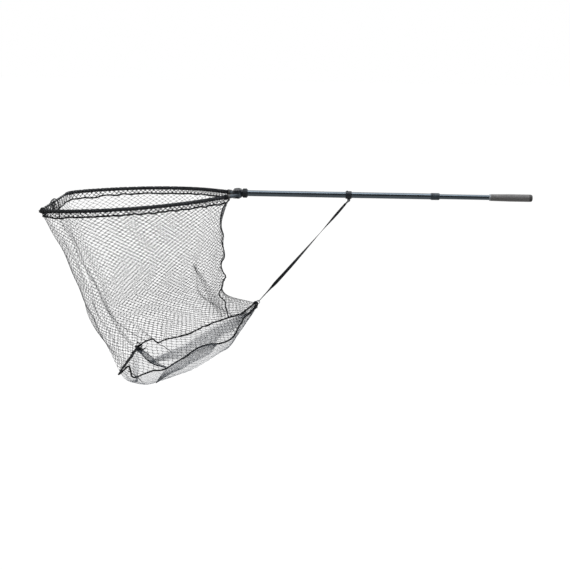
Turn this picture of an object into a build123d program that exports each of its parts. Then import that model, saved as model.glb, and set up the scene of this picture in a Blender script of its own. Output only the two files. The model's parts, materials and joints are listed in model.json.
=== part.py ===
"""Landing net with a folding two-arm head on a two-section telescopic handle.

Frame: +X runs along the handle towards the butt, +Z is up and the net hangs down. The origin is
on the handle's axis, where a hand holds the outer tube. Stations along the handle are counted
from the front face of the yoke and turned into X by at().
"""

import os
from math import cos, hypot, radians, sin

from build123d import *

os.makedirs("parts", exist_ok=True)

# Driving dimensions, in millimetres and degrees
HOLD = 590.0  # from the yoke's front face to the hand hold, which is the origin
RUN = 0.05  # radial clearance of a running fit

TUBE_R = 11.0  # outer handle tube
TUBE_BORE = 10.0
TUBE_FRONT, TUBE_BACK = 38.5, 755.0
INNER_R = 9.25  # inner handle tube
INNER_BORE = 8.25
INNER_FRONT, INNER_BACK = 325.0, 1083.0
BUSH_LENGTH = 30.0  # guide bush inside the outer tube's rear end

STUD_R = 4.0  # stud of the end plug, with its sleeve and nut
STUD_START, STUD_NUT = -38.0, 5.0  # from the inner tube's front end; nut thickness
SLEEVE_GAP, SLEEVE_LENGTH = 5.0, 26.0
PLUG_DEPTH, PLUG_LIP = 18.0, 2.0

DROOP = 3.3  # the rim leans down towards its front by this angle
RIM_DROP = 6.0  # the rim plane passes this far below the handle's axis at the yoke's front face
PIVOT_X, PIVOT_Y = 28.0, 29.0  # arm pivots: behind the yoke's front face, out from the middle
SPLAY = 47.0  # angle between an arm's root and the middle line
ARM_R, ARM_BORE = 5.5, 4.3
ARM_INSERT = 16.0  # the arm tube starts this far from its pivot, inside its socket
SOCKET_R, SOCKET_LENGTH = 7.0, 48.0
EYE_R, EYE_HALF = 9.5, 7.0
PIN_R = 3.0
ARM_STRAIGHT = 158.0  # straight root of the arm, from the pivot
ARM_ARCS = ((500.0, 47.0), (430.0, 22.0), (70.0, 58.0))  # radius and turn of each arc
TIP_CAP_R = 6.6

YOKE_FRONT, YOKE_BACK = 8.0, 39.0
YOKE_HALF_WIDTH = 39.5
SLOT_HALF = 7.8  # the arm sockets turn in a slot of this half height
PLATE = 3.0  # thickness of the yoke's bottom and top plates
COVER_HEIGHT = 8.0
COVER_ROUND, COVER_RIB, PIN_ROOM = 2.5, 1.0, 2.0  # its rounded edge, rib depth and room over the pins
NECK_R, NECK_END = 13.5, 61.0
RIVET_X, RIVET_R = 41.0, 1.5
SCREW_XS, SCREW_R, SCREW_HEAD_R = (15.0, 31.0), 1.6, 3.0  # the cover's two screws
SCREW_SEAT = 4.0  # height of the screw heads' seats in the cover
CLIP_GROOVE = 1.2  # depth of the ring clip's groove in the neck
RING_START, RING_END, RING_R = 43.0, 58.5, 17.0

COLLAR_START, COLLAR_END, COLLAR_R = 418.0, 440.0, 14.2
FERRULE_START, FERRULE_END, FERRULE_R = 727.0, 759.0, 12.8
GRIP_START, GRIP_STRAIGHT, GRIP_END = 943.0, 1013.0, 1083.0
GRIP_FRONT_R, GRIP_R = 12.2, 13.5
BUTT_END = 1095.0
CAP_R, CAP_ROUND, CAP_PLUG = 13.2, 7.0, 25.0  # butt cap: its radius, its rounded edge and its plug

HEM_START = 60.0  # the hem begins this far from the arm's pivot
HEM_TOP, HEM_BOTTOM, HEM_THICK = 6.8, 18.6, 2.6  # band of doubled mesh under the arms
FRONT_X, FRONT_HALF = -650.5, 209.0  # front cord's place in the rim plane and half its length
SEAM_DROP, SEAM_R = 20.4, 1.6  # cord along the hem's lower edge
FRONT_CORD_R = 2.6
WALL = 3.0  # thickness of the bag's solids
BASE_CORD_R = 2.5

# The bag hangs between level sections. Each is a flat outline from a rear to a front point,
# (station, height), with half widths at these fractions of the way.
FRACTIONS = (0.0, 0.10, 0.23, 0.43, 0.68, 0.88, 0.97, 1.0)
RIM_WIDTHS = (60.0, 143.0, 212.0, 276.0, 301.0, 284.0, 246.0, 213.0)
BASE_WIDTHS = (8.0, 48.0, 104.0, 152.0, 181.0, 187.0, 182.0, 170.0)
REAR_WIDTHS = (60.0, 25.0, 14.0, 10.0, 8.0)
REARS = ((-15.0, -31.5), (-33.0, -150.0), (-33.0, -265.0), (-30.0, -372.0), (95.0, -410.0))
FRONTS = ((-648.0, -68.0), (-578.0, -200.0), (-530.0, -348.0), (-478.0, -488.0), (-382.0, -646.0))
POUCH = (((50.0, -487.0), (-356.0, -698.0), 0.80), ((-20.0, -580.0), (-318.0, -718.0), 0.42))

BASE_GAP = 6.5  # the base cord runs this far outside the bag's outline
BASE_CORNER = 8.0  # radius of the base cord's bends
REAR_ROUTE = ((-12.0, -45.0), (-26.5, -150.0), (-27.5, -265.0), (-24.5, -366.0))
REAR_BENDS = [350.0, 900.0]

STRAP_WIDTH, STRAP_THICK = 12.0, 1.6
LUG_X, LUG_Z, LUG_HALF = 430.0, -18.8, 2.5  # hole of the strap collar's lug
LUG_R, LUG_HOLE = 5.6, 2.2
COLLAR_SCREW_X, COLLAR_SCREW_R = 424.0, 1.5
LUG_RING = (8.0, 1.5)  # major and minor radius of each ring
CORNER_RING = (6.0, 1.2)
CORNER_OFFSET = 2.0  # the corner ring's centre, from the base cord towards the collar
RING_GAP = 0.3  # between the strap's ends and the rings


def at(station):
    """X of a station counted from the yoke's front face."""
    return station - HOLD


def save(builder, label):
    """Label a finished piece and write it under its own name."""
    builder.part.label = label
    export_step(builder.part, f"parts/{label}.step")


# Z of this plane is the arms' hinge direction; its x runs along the net towards the handle
RIM = Plane(
    origin=(at(0), 0, -RIM_DROP),
    x_dir=(cos(radians(DROOP)), 0, sin(radians(DROOP))),
    z_dir=(-sin(radians(DROOP)), 0, cos(radians(DROOP))),
)


# ---- handle -----------------------------------------------------------------------------

with BuildPart() as outer_tube:
    with BuildSketch(Plane.YZ.offset(at(TUBE_FRONT))):
        Circle(TUBE_R)
        Circle(TUBE_BORE, mode=Mode.SUBTRACT)
    extrude(amount=TUBE_BACK - TUBE_FRONT)
    with BuildSketch(Plane.XY):
        with Locations((at(RIVET_X), 0)):
            Circle(RIVET_R)
    extrude(amount=NECK_R, both=True, mode=Mode.SUBTRACT)
save(outer_tube, "outer_tube")

with BuildPart() as inner_tube:
    with BuildSketch(Plane.YZ.offset(at(INNER_FRONT))):
        Circle(INNER_R)
        Circle(INNER_BORE, mode=Mode.SUBTRACT)
    extrude(amount=INNER_BACK - INNER_FRONT)
save(inner_tube, "inner_tube")

with BuildPart() as end_ferrule:
    with BuildSketch(Plane.XZ):
        with BuildLine():
            Polyline(
                (at(FERRULE_START), TUBE_R),
                (at(FERRULE_START), FERRULE_R - 1.2),
                (at(FERRULE_START + 1.5), FERRULE_R),
                (at(FERRULE_END - 2.0), FERRULE_R),
                (at(FERRULE_END), FERRULE_R - 1.6),
                (at(FERRULE_END), INNER_R + 2 * RUN),
                (at(TUBE_BACK), INNER_R + 2 * RUN),
                (at(TUBE_BACK), TUBE_R),
                close=True,
            )
        make_face()
    revolve(axis=Axis.X)
    with BuildSketch(Plane.YZ.offset(at(FERRULE_START + 3.0))):
        with PolarLocations(FERRULE_R + 0.35, 24):
            Circle(0.8)
    extrude(amount=11.0, mode=Mode.SUBTRACT)
save(end_ferrule, "end_ferrule")

with BuildPart() as guide_bush:
    with BuildSketch(Plane.YZ.offset(at(TUBE_BACK - BUSH_LENGTH))):
        Circle(TUBE_BORE)
        Circle(INNER_R + RUN, mode=Mode.SUBTRACT)
    extrude(amount=BUSH_LENGTH)
save(guide_bush, "guide_bush")

with BuildPart() as grip:
    with BuildSketch(Plane.XZ):
        with BuildLine():
            Polyline(
                (at(GRIP_START), INNER_R),
                (at(GRIP_START), GRIP_FRONT_R - 0.8),
                (at(GRIP_START + 1.0), GRIP_FRONT_R),
                (at(GRIP_STRAIGHT), GRIP_R),
                (at(GRIP_END), GRIP_R),
                (at(GRIP_END), INNER_R),
                close=True,
            )
        make_face()
    revolve(axis=Axis.X)
save(grip, "grip")

with BuildPart() as grip_ring:
    with BuildSketch(Plane.YZ.offset(at(GRIP_START - 4.0))):
        Circle(GRIP_FRONT_R - 0.2)
        Circle(INNER_R, mode=Mode.SUBTRACT)
    extrude(amount=4.0)
    fillet(grip_ring.edges().filter_by(GeomType.CIRCLE).group_by(SortBy.RADIUS)[-1], 0.8)
save(grip_ring, "grip_ring")

with BuildPart() as butt_cap:
    with BuildSketch(Plane.YZ.offset(at(GRIP_END))):
        Circle(CAP_R)
    extrude(amount=BUTT_END - GRIP_END)
    fillet(butt_cap.edges().filter_by(GeomType.CIRCLE).sort_by(Axis.X)[-1], CAP_ROUND)
    with BuildSketch(Plane.YZ.offset(at(GRIP_END - CAP_PLUG))):
        Circle(INNER_BORE)
    extrude(amount=CAP_PLUG)
save(butt_cap, "butt_cap")

# ---- twist lock inside the outer tube ----------------------------------------------------

with BuildPart() as end_plug:
    with BuildSketch(Plane.YZ.offset(at(INNER_FRONT))):
        Circle(INNER_BORE)
    extrude(amount=PLUG_DEPTH)
    with BuildSketch(Plane.YZ.offset(at(INNER_FRONT - PLUG_LIP))):
        Circle(INNER_R)
    extrude(amount=PLUG_LIP)
    with BuildSketch(Plane.YZ.offset(at(INNER_FRONT + STUD_START))):
        Circle(STUD_R)
    extrude(amount=-STUD_START - PLUG_LIP)
save(end_plug, "end_plug")

with BuildPart() as expander_sleeve:
    with BuildSketch(Plane.YZ.offset(at(INNER_FRONT - SLEEVE_GAP - SLEEVE_LENGTH))):
        Circle(TUBE_BORE - RUN)
        Circle(STUD_R + RUN, mode=Mode.SUBTRACT)
        with Locations((0, 7.0)):
            Rectangle(2.0, 8.0, mode=Mode.SUBTRACT)
    extrude(amount=SLEEVE_LENGTH)
save(expander_sleeve, "expander_sleeve")

with BuildPart() as stud_nut:
    with BuildSketch(Plane.YZ.offset(at(INNER_FRONT + STUD_START))):
        RegularPolygon(7.0, 6)
        Circle(STUD_R, mode=Mode.SUBTRACT)
    extrude(amount=STUD_NUT)
save(stud_nut, "stud_nut")

# ---- yoke --------------------------------------------------------------------------------


def yoke_outline(inset):
    """Half-round shoulders round the arm pivots, narrowing back to the neck."""
    wide = YOKE_HALF_WIDTH - inset
    front, back = YOKE_FRONT + inset, YOKE_BACK - inset
    with BuildLine() as line:
        Polyline(
            (front, -wide + 9.0),
            (front + 9.0, -wide),
            (back - 9.0, -wide),
            (back, -wide + 20.0),
            (back, wide - 20.0),
            (back - 9.0, wide),
            (front + 9.0, wide),
            (front, wide - 9.0),
            close=True,
        )
    return line.line


body_outline = yoke_outline(0.0)
cover_outline = yoke_outline(1.2)
pivots = ((PIVOT_X, -PIVOT_Y), (PIVOT_X, PIVOT_Y))
screws = [(x, 0) for x in SCREW_XS]
PLATE_OUT = SLOT_HALF + PLATE

with BuildPart() as yoke_body:
    with BuildSketch(RIM.offset(-PLATE_OUT)):
        add(body_outline)
        make_face()
    extrude(amount=2 * PLATE_OUT)
    fillet(yoke_body.faces().sort_by(Axis.Z)[0].edges(), 1.5)
    with BuildSketch(RIM.offset(-SLOT_HALF)):
        for side in (-1, 1):
            with Locations((PIVOT_X - 14.5, side * (PIVOT_Y + 8.5))):
                Rectangle(55.0, 42.0)
    extrude(amount=2 * SLOT_HALF, mode=Mode.SUBTRACT)
    with BuildSketch(Plane.YZ.offset(at(YOKE_BACK - 3.0))):
        Circle(NECK_R)
    extrude(amount=NECK_END - YOKE_BACK + 3.0)
    with BuildSketch(Plane.YZ.offset(at(TUBE_FRONT))):
        Circle(TUBE_R)
    extrude(amount=NECK_END - TUBE_FRONT, mode=Mode.SUBTRACT)
    with BuildSketch(Plane.YZ.offset(at(RING_END - 2.0))):
        Circle(NECK_R + 1.0)
        Circle(NECK_R - CLIP_GROOVE, mode=Mode.SUBTRACT)
    extrude(amount=1.5, mode=Mode.SUBTRACT)
    with BuildSketch(Plane.XY):
        with Locations((at(RIVET_X), 0)):
            Circle(RIVET_R)
    extrude(amount=NECK_R, both=True, mode=Mode.SUBTRACT)
    with BuildSketch(RIM.offset(-PLATE_OUT)):
        with Locations(*pivots):
            Circle(PIN_R)
    extrude(amount=2 * PLATE_OUT, mode=Mode.SUBTRACT)
    with BuildSketch(RIM.offset(PLATE_OUT - 5.0)):
        with Locations(*screws):
            Circle(SCREW_R)
    extrude(amount=5.0, mode=Mode.SUBTRACT)
save(yoke_body, "yoke_body")

with BuildPart() as yoke_cover:
    with BuildSketch(RIM.offset(PLATE_OUT)):
        add(cover_outline)
        make_face()
    extrude(amount=COVER_HEIGHT)
    fillet(yoke_cover.faces().sort_by(Axis.Z)[-1].edges(), COVER_ROUND)
    with BuildSketch(RIM.offset(PLATE_OUT + COVER_HEIGHT - COVER_RIB)):
        with GridLocations(0, 7.0, 1, 11):
            with Locations(((YOKE_FRONT + YOKE_BACK) / 2, 0)):
                SlotOverall(20.0, 2.6)
    extrude(amount=5.0, mode=Mode.SUBTRACT)
    with BuildSketch(RIM.offset(PLATE_OUT)):
        with Locations(*pivots):
            Circle(PIN_R + 2.2)
    extrude(amount=PIN_ROOM, mode=Mode.SUBTRACT)
    with BuildSketch(RIM.offset(PLATE_OUT)):
        with Locations(*screws):
            Circle(SCREW_R)
    extrude(amount=COVER_HEIGHT, mode=Mode.SUBTRACT)
    with BuildSketch(RIM.offset(PLATE_OUT + SCREW_SEAT)):
        with Locations(*screws):
            Circle(SCREW_HEAD_R + 0.2)
    extrude(amount=COVER_HEIGHT, mode=Mode.SUBTRACT)
    with BuildSketch(Plane.YZ.offset(at(YOKE_BACK - 3.0))):
        Circle(NECK_R)
    extrude(amount=5.0, mode=Mode.SUBTRACT)
save(yoke_cover, "yoke_cover")

with BuildPart() as cover_screws:
    with BuildSketch(RIM.offset(PLATE_OUT - 4.5)):
        with Locations(*screws):
            Circle(SCREW_R)
    extrude(amount=SCREW_SEAT + 4.5)
    with BuildSketch(RIM.offset(PLATE_OUT + SCREW_SEAT)):
        with Locations(*screws):
            Circle(SCREW_HEAD_R)
    extrude(amount=2.4)
    with BuildSketch(RIM.offset(PLATE_OUT + SCREW_SEAT + 1.2)):
        with Locations(*screws):
            RegularPolygon(1.4, 6)
    extrude(amount=2.0, mode=Mode.SUBTRACT)
save(cover_screws, "cover_screws")

with BuildPart() as pivot_pins:
    with BuildSketch(RIM.offset(-PLATE_OUT)):
        with Locations(*pivots):
            Circle(PIN_R)
    extrude(amount=2 * PLATE_OUT)
    with BuildSketch(RIM.offset(-PLATE_OUT - 1.6)):
        with Locations(*pivots):
            Circle(PIN_R + 2.0)
    extrude(amount=1.6)
    with BuildSketch(RIM.offset(PLATE_OUT)):
        with Locations(*pivots):
            Circle(PIN_R + 1.6)
    extrude(amount=1.4)
save(pivot_pins, "pivot_pins")

with BuildPart() as pivot_washers:
    for level in (-SLOT_HALF, EYE_HALF + RUN):
        with BuildSketch(RIM.offset(level)):
            with Locations(*pivots):
                Circle(PIN_R + 4.0)
                Circle(PIN_R, mode=Mode.SUBTRACT)
        extrude(amount=SLOT_HALF - EYE_HALF - RUN)
save(pivot_washers, "pivot_washers")

with BuildPart() as head_rivet:
    with BuildSketch(Plane.XY.offset(-NECK_R + 0.4)):
        with Locations((at(RIVET_X), 0)):
            Circle(RIVET_R)
    extrude(amount=2 * NECK_R - 0.8)
save(head_rivet, "head_rivet")

with BuildPart() as lock_ring:
    with BuildSketch(Plane.XZ):
        with BuildLine():
            Polyline(
                (at(RING_START), NECK_R + RUN),
                (at(RING_START), RING_R - 1.2),
                (at(RING_START + 1.2), RING_R),
                (at(RING_END - 1.2), RING_R),
                (at(RING_END), RING_R - 1.2),
                (at(RING_END), NECK_R + 2.0),
                (at(RING_END - 2.2), NECK_R + 2.0),
                (at(RING_END - 2.2), NECK_R + RUN),
                close=True,
            )
        make_face()
    revolve(axis=Axis.X)
    with BuildSketch(Plane.YZ.offset(at(RING_START + 2.2))):
        with PolarLocations(RING_R + 0.5, 28):
            Circle(1.3)
    extrude(amount=RING_END - RING_START - 4.4, mode=Mode.SUBTRACT)
save(lock_ring, "lock_ring")

with BuildPart() as ring_clip:
    with BuildSketch(Plane.YZ.offset(at(RING_END - 1.9))):
        Circle(NECK_R + 1.5)
        Circle(NECK_R - CLIP_GROOVE, mode=Mode.SUBTRACT)
        with Locations((0, -NECK_R)):
            Rectangle(5.0, 8.0, mode=Mode.SUBTRACT)
    extrude(amount=1.3)
save(ring_clip, "ring_clip")

# ---- arms --------------------------------------------------------------------------------


def arm_point(side, distance):
    """Point of the arm's straight root, this far from the pivot, in the rim plane."""
    along = radians(SPLAY)
    return (PIVOT_X - distance * cos(along), side * (PIVOT_Y + distance * sin(along)))


def arm_path(side, start):
    """Middle line of an arm from its straight root to its tip. side is -1 near, +1 far."""
    with BuildLine() as line:
        piece = Line(arm_point(side, start), arm_point(side, ARM_STRAIGHT))
        for radius, turn in ARM_ARCS:
            piece = JernArc(piece @ 1, piece % 1, radius, side * turn)
    return RIM * line.line


def section(path):
    """Plane across the start of a path in the rim plane, x along the rim's upward normal."""
    return Plane(origin=path @ 0, x_dir=RIM.z_dir, z_dir=path % 0)


SIDES = ((-1, "near"), (1, "far"))

for side, name in SIDES:
    root_path = arm_path(side, ARM_INSERT)
    with BuildPart() as arm:
        with BuildSketch(section(root_path)):
            Circle(ARM_R)
            Circle(ARM_BORE, mode=Mode.SUBTRACT)
        sweep(path=root_path)
    save(arm, f"{name}_arm")

    pivot = RIM.from_local_coords((PIVOT_X, side * PIVOT_Y, 0))
    out = Plane(origin=pivot, x_dir=RIM.z_dir, z_dir=root_path % 0)
    eye_plane = Plane(origin=pivot, x_dir=RIM.x_dir, z_dir=RIM.z_dir)
    with BuildPart() as socket:
        with BuildSketch(out):
            Circle(SOCKET_R)
        extrude(amount=SOCKET_LENGTH)
        with BuildSketch(eye_plane.offset(-EYE_HALF)):
            Circle(EYE_R)
        extrude(amount=2 * EYE_HALF)
        with BuildSketch(out.offset(ARM_INSERT)):
            Circle(ARM_R)
        extrude(amount=SOCKET_LENGTH, mode=Mode.SUBTRACT)
        with BuildSketch(eye_plane.offset(-EYE_HALF)):
            Circle(PIN_R + RUN)
        extrude(amount=2 * EYE_HALF, mode=Mode.SUBTRACT)
        with BuildSketch(out.offset(ARM_INSERT + 9.0)):
            Rectangle(2 * SOCKET_R + 2, 1.2)
        extrude(amount=SOCKET_LENGTH, mode=Mode.SUBTRACT)
    save(socket, f"{name}_socket")

    with BuildPart() as collar:
        with BuildSketch(out.offset(SOCKET_LENGTH)):
            Circle(SOCKET_R + 2.4)
            Circle(ARM_R, mode=Mode.SUBTRACT)
        extrude(amount=8.0)
        fillet(collar.edges().filter_by(GeomType.CIRCLE).group_by(SortBy.RADIUS)[-1], 1.6)
    save(collar, f"{name}_collar")

    tip_path = arm_path(side, SOCKET_LENGTH)
    with BuildPart() as tip_cap:
        with BuildSketch(Plane(origin=tip_path @ 1, z_dir=tip_path % 1)):
            Circle(TIP_CAP_R)
            Circle(FRONT_CORD_R, mode=Mode.SUBTRACT)
        extrude(amount=8.0)
        with BuildSketch(Plane(origin=tip_path @ 1, z_dir=tip_path % 1)):
            Circle(TIP_CAP_R)
            Circle(ARM_R + 0.35, mode=Mode.SUBTRACT)
        extrude(amount=-5.0)
    save(tip_cap, f"{name}_tip_cap")

    hem_path = arm_path(side, HEM_START)
    with BuildPart() as hem:
        with BuildSketch(section(hem_path)):
            with Locations((-(HEM_TOP + HEM_BOTTOM) / 2, 0)):
                Rectangle(HEM_BOTTOM - HEM_TOP, HEM_THICK)
        sweep(path=hem_path)
    save(hem, f"{name}_hem")

    with BuildPart() as seam:
        with BuildSketch(section(hem_path)):
            with Locations((-SEAM_DROP, 0)):
                Circle(SEAM_R)
        sweep(path=hem_path)
    save(seam, f"{name}_seam_cord")

# ---- front edge between the arm tips -----------------------------------------------------

front_start = Plane(
    origin=RIM.from_local_coords((FRONT_X, -FRONT_HALF, 0)),
    x_dir=RIM.z_dir,
    z_dir=(0, 1, 0),
)

with BuildPart() as front_cord:
    with BuildSketch(front_start):
        Circle(FRONT_CORD_R)
    extrude(amount=2 * FRONT_HALF)
save(front_cord, "front_cord")

with BuildPart() as front_hem:
    with BuildSketch(front_start):
        with Locations((-(HEM_TOP + HEM_BOTTOM) / 2, 0)):
            Rectangle(HEM_BOTTOM - HEM_TOP, HEM_THICK)
    extrude(amount=2 * FRONT_HALF)
save(front_hem, "front_hem")

with BuildPart() as front_seam_cord:
    with BuildSketch(front_start):
        with Locations((-SEAM_DROP, 0)):
            Circle(SEAM_R)
    extrude(amount=2 * FRONT_HALF)
save(front_seam_cord, "front_seam_cord")

# ---- bag ---------------------------------------------------------------------------------


def bag_plane(rear, front):
    """Plane through a rear and a front point of the bag, x from rear to front, z upward."""
    run = (front[0] - rear[0], front[1] - rear[1])
    return Plane(
        origin=(at(rear[0]), 0, rear[1]),
        x_dir=(run[0], 0, run[1]),
        z_dir=(run[1], 0, -run[0]),
    )


def outline_points(rear, front, widths, inset):
    """Corners of a section's outline in its own plane, inset all round."""
    length = hypot(front[0] - rear[0], front[1] - rear[1])
    side = []
    for fraction, width in zip(FRACTIONS, widths):
        along = inset + fraction * (length - 2 * inset)
        side.append((along, max(width - inset, 2.0)))
    return side + [(x, -y) for x, y in reversed(side)]


def level_widths(level):
    """Half widths of one of the bag's five sections, from rim to base."""
    share = level / (len(REARS) - 1)
    widths = [rim + share * (base - rim) for rim, base in zip(RIM_WIDTHS, BASE_WIDTHS)]
    widths[0] = REAR_WIDTHS[level]
    return widths


def lofted(sections, inset):
    """Solid through flat sections, each a rear point, a front point and half widths."""
    with BuildPart() as body:
        for rear, front, widths in sections:
            with BuildSketch(bag_plane(rear, front)):
                with BuildLine():
                    Polyline(*outline_points(rear, front, widths, inset), close=True)
                make_face()
        loft(ruled=True)
    return body.part


def raised(profile, height):
    """The same section moved up by a height."""
    rear, front, widths = profile
    return ((rear[0], rear[1] + height), (front[0], front[1] + height), widths)


bag_levels = [(REARS[i], FRONTS[i], level_widths(i)) for i in range(len(REARS))]
hollow_levels = [raised(bag_levels[0], 4.0), *bag_levels[1:-1], raised(bag_levels[-1], -4.0)]
bag_skin = lofted(bag_levels, 0.0)
bag_hollow = lofted(hollow_levels, WALL)
for side, name in SIDES:
    with BuildPart() as net:
        add(bag_skin)
        add(bag_hollow, mode=Mode.SUBTRACT)
        split(bisect_by=Plane.XZ, keep=Keep.TOP if side < 0 else Keep.BOTTOM)
    save(net, f"{name}_net")

pouch_levels = [bag_levels[-1]]
for rear, front, share in POUCH:
    pouch_levels.append((rear, front, [share * width for width in BASE_WIDTHS]))
pouch_hollows = [raised(pouch_levels[0], 4.0), *[raised(level, WALL) for level in pouch_levels[1:]]]
pouch_skin = lofted(pouch_levels, 0.0)
pouch_hollow = lofted(pouch_hollows, WALL)
with BuildPart() as base_pouch:
    add(pouch_skin)
    add(pouch_hollow, mode=Mode.SUBTRACT)
save(base_pouch, "base_pouch")

base_points = outline_points(REARS[-1], FRONTS[-1], BASE_WIDTHS, -BASE_GAP)
with BuildLine() as base_line:
    FilletPolyline(*base_points, radius=BASE_CORNER, close=True)
base_loop = bag_plane(REARS[-1], FRONTS[-1]) * base_line.line
with BuildPart() as base_cord:
    with BuildSketch(Plane(origin=base_loop @ 0, z_dir=base_loop % 0)):
        Circle(BASE_CORD_R)
    sweep(path=base_loop)
save(base_cord, "base_cord")
print(f"base cord bends at radius {BASE_CORNER}")

with BuildLine(Plane.XZ) as rear_line:
    FilletPolyline(*[(at(x), z) for x, z in REAR_ROUTE], radius=REAR_BENDS)
with BuildPart() as rear_seam_cord:
    with BuildSketch(Plane(origin=rear_line.line @ 0, z_dir=rear_line.line % 0)):
        Circle(SEAM_R)
    sweep(path=rear_line.line)
save(rear_seam_cord, "rear_seam_cord")
print(f"rear seam cord bends at radii {REAR_BENDS}")

# ---- strap -------------------------------------------------------------------------------

lug_hole = Vector(at(LUG_X), 0, LUG_Z)
base_rear = Vector(at(REARS[-1][0]), 0, REARS[-1][1])
base_front = Vector(at(FRONTS[-1][0]), 0, FRONTS[-1][1])
loop_end = base_rear + (base_rear - base_front).normalized() * BASE_GAP
pull = (loop_end - lug_hole).normalized()
across = Vector(0, 1, 0)
lug_top = -TUBE_R - 1.5  # the lug's neck starts inside the collar's wall

with BuildPart() as strap_collar:
    with BuildSketch(Plane.YZ.offset(at(COLLAR_START))):
        Circle(COLLAR_R)
        Circle(TUBE_R, mode=Mode.SUBTRACT)
    extrude(amount=COLLAR_END - COLLAR_START)
    chamfer(strap_collar.edges().filter_by(GeomType.CIRCLE).group_by(SortBy.RADIUS)[-1], 1.0)
    with BuildSketch(Plane.XZ.offset(-LUG_HALF)):
        with Locations((at(LUG_X), LUG_Z)):
            Circle(LUG_R)
        with Locations((at(LUG_X), (LUG_Z + lug_top) / 2)):
            Rectangle(2 * LUG_R, lug_top - LUG_Z)
    extrude(amount=2 * LUG_HALF)
    with BuildSketch(Plane.XZ.offset(-COLLAR_R)):
        with Locations((at(LUG_X), LUG_Z)):
            Circle(LUG_HOLE)
    extrude(amount=2 * COLLAR_R, mode=Mode.SUBTRACT)
    with BuildSketch(Plane.XY.offset(TUBE_R)):
        with Locations((at(COLLAR_SCREW_X), 0)):
            Circle(COLLAR_SCREW_R)
    extrude(amount=COLLAR_R, mode=Mode.SUBTRACT)
save(strap_collar, "strap_collar")

with BuildPart() as collar_screw:
    with BuildSketch(Plane.XY.offset(TUBE_R)):
        with Locations((at(COLLAR_SCREW_X), 0)):
            Circle(COLLAR_SCREW_R)
    extrude(amount=COLLAR_R - TUBE_R)
    with BuildSketch(Plane.XY.offset(COLLAR_R)):
        with Locations((at(COLLAR_SCREW_X), 0)):
            Circle(COLLAR_SCREW_R + 1.1)
    extrude(amount=1.5)
    with BuildSketch(Plane.XY.offset(COLLAR_R + 0.6)):
        with Locations((at(COLLAR_SCREW_X), 0)):
            RegularPolygon(1.3, 6)
    extrude(amount=1.0, mode=Mode.SUBTRACT)
save(collar_screw, "collar_screw")


def ring(centre, reach, tangent, major, minor):
    """Round wire ring: reach points from its centre to the starting section."""
    with BuildPart() as body:
        with BuildSketch(Plane(origin=centre + reach * major, x_dir=reach, z_dir=tangent)):
            Circle(minor)
        revolve(axis=Axis(centre, reach.cross(tangent)))
    return body


save(ring(lug_hole + pull * LUG_RING[0], pull, across, *LUG_RING), "strap_ring")
corner_centre = loop_end - pull * CORNER_OFFSET
save(ring(corner_centre, pull, pull.cross(across), *CORNER_RING), "corner_ring")

strap_start = lug_hole + pull * (2 * LUG_RING[0] + LUG_RING[1] + RING_GAP)
strap_end = corner_centre - pull * (sum(CORNER_RING) + RING_GAP)
strap_length = (strap_end - strap_start).length
with BuildPart() as strap:
    with BuildSketch(Plane(origin=strap_start, x_dir=across, z_dir=pull)):
        Rectangle(STRAP_WIDTH, STRAP_THICK)
    extrude(amount=strap_length)
save(strap, "strap")
print(f"strap from {strap_start} to {strap_end}, {strap_length:.1f} long")
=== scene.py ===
import json
from math import cos, pi, radians, sin

import bpy
import numpy as np
from mathutils import Matrix, Vector


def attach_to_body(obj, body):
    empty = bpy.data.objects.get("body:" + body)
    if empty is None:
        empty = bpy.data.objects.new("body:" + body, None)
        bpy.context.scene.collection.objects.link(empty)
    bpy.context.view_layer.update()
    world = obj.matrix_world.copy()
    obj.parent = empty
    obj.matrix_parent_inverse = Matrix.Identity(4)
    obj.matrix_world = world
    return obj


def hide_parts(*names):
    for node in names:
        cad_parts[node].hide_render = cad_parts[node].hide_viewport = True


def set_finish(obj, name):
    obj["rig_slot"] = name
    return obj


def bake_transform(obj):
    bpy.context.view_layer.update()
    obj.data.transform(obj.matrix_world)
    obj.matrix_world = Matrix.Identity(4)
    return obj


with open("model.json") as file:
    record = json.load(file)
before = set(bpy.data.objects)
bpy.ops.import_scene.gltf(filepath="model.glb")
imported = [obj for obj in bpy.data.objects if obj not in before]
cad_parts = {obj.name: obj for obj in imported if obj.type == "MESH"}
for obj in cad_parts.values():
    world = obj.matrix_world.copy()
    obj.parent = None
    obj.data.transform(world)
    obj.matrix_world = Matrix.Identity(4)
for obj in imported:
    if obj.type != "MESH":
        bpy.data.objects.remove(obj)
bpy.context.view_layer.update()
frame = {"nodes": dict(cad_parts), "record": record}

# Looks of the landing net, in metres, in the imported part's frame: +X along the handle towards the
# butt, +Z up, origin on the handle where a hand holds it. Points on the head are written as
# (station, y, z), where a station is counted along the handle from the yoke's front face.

HOLD = 0.590  # from the yoke's front face to the origin
rng = np.random.default_rng(11)


def placed(points):
    """Points given as (station, y, z) in the row frame."""
    return np.asarray(points, float) - (HOLD, 0.0, 0.0)


# ---- camera and studio ----

CAMERA_TARGET = Vector((-0.3886, 0.0, -0.3394))
CAMERA_DISTANCE = 5.0
CAMERA_ELEVATION, CAMERA_AZIMUTH, CAMERA_ROLL = radians(11.3), radians(2.24), radians(0.75)
CAMERA_LENS = 85.35
FLOOR_Z = -1.05
FLOOR_HALF, FLOOR_GLOW = 30.0, 1.0
WORLD_LIGHT, WORLD_DARK = 1.4, 0.03
DARK_TOWARD = (0.0, -0.97, 0.24)  # where the studio is unlit
DARK_INNER, DARK_OUTER = 0.80, 0.50
OVERHEAD_PLACE, OVERHEAD_AIM = (0.1, -0.3, 2.3), (0.1, -0.1, 0.0)
OVERHEAD_SIZE, OVERHEAD_POWER, OVERHEAD_COLOUR = (4.2, 2.4), 170.0, (0.93, 0.97, 1.0)


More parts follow.
